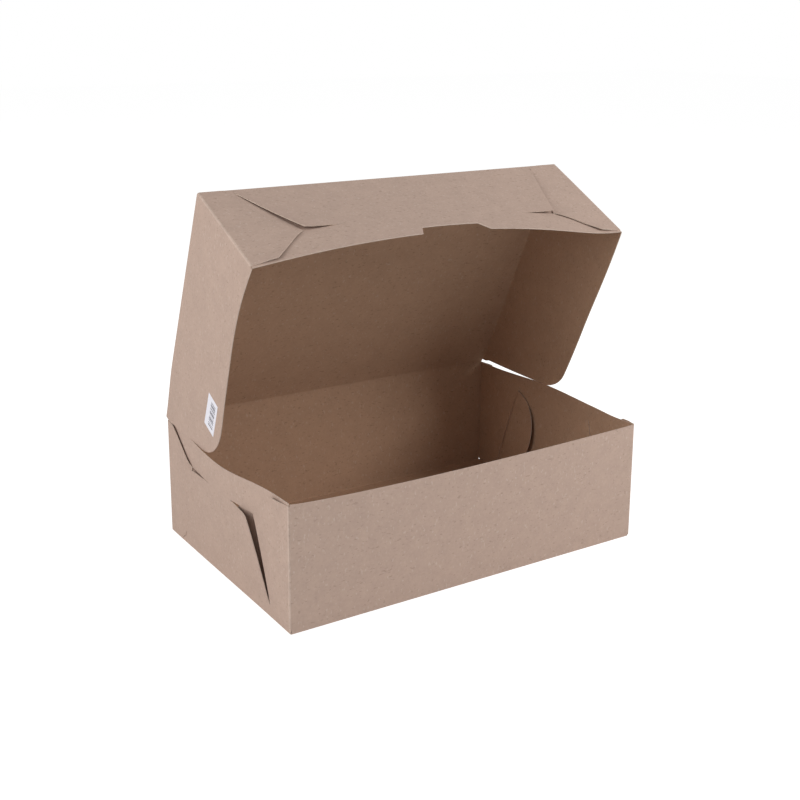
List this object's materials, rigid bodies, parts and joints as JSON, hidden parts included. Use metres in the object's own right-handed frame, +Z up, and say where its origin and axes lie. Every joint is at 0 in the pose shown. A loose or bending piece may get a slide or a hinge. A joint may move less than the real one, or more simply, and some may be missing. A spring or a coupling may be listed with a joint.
{
  "type": "lidded folding carton",
  "caption": "Shallow kraft board carton folded from one blank, with hook-locked corners, a hinged lid with a thumb notch and a paper label on its side.",
  "frame": {"origin": "middle of the underside of the tray's base", "axes": "+X to the right along the front wall, +Y from the front wall to the back wall, +Z up"},
  "size_m": [0.3243, 0.2125, 0.2957],
  "materials": {
    "kraft_board": "matte",
    "label_paper": "satin"
  },
  "bodies": {
    "tray": {"tray": "kraft_board"},
    "lid": {"lid": "kraft_board", "label": "label_paper"}
  },
  "joints": [
    {"name": "lid_hinge", "type": "hinge", "parent": "tray", "child": "lid", "pos_m": [0, 0.106, 0.1], "axis": [-1, 0, 0], "range_deg": [-65, 115]}
  ]
}
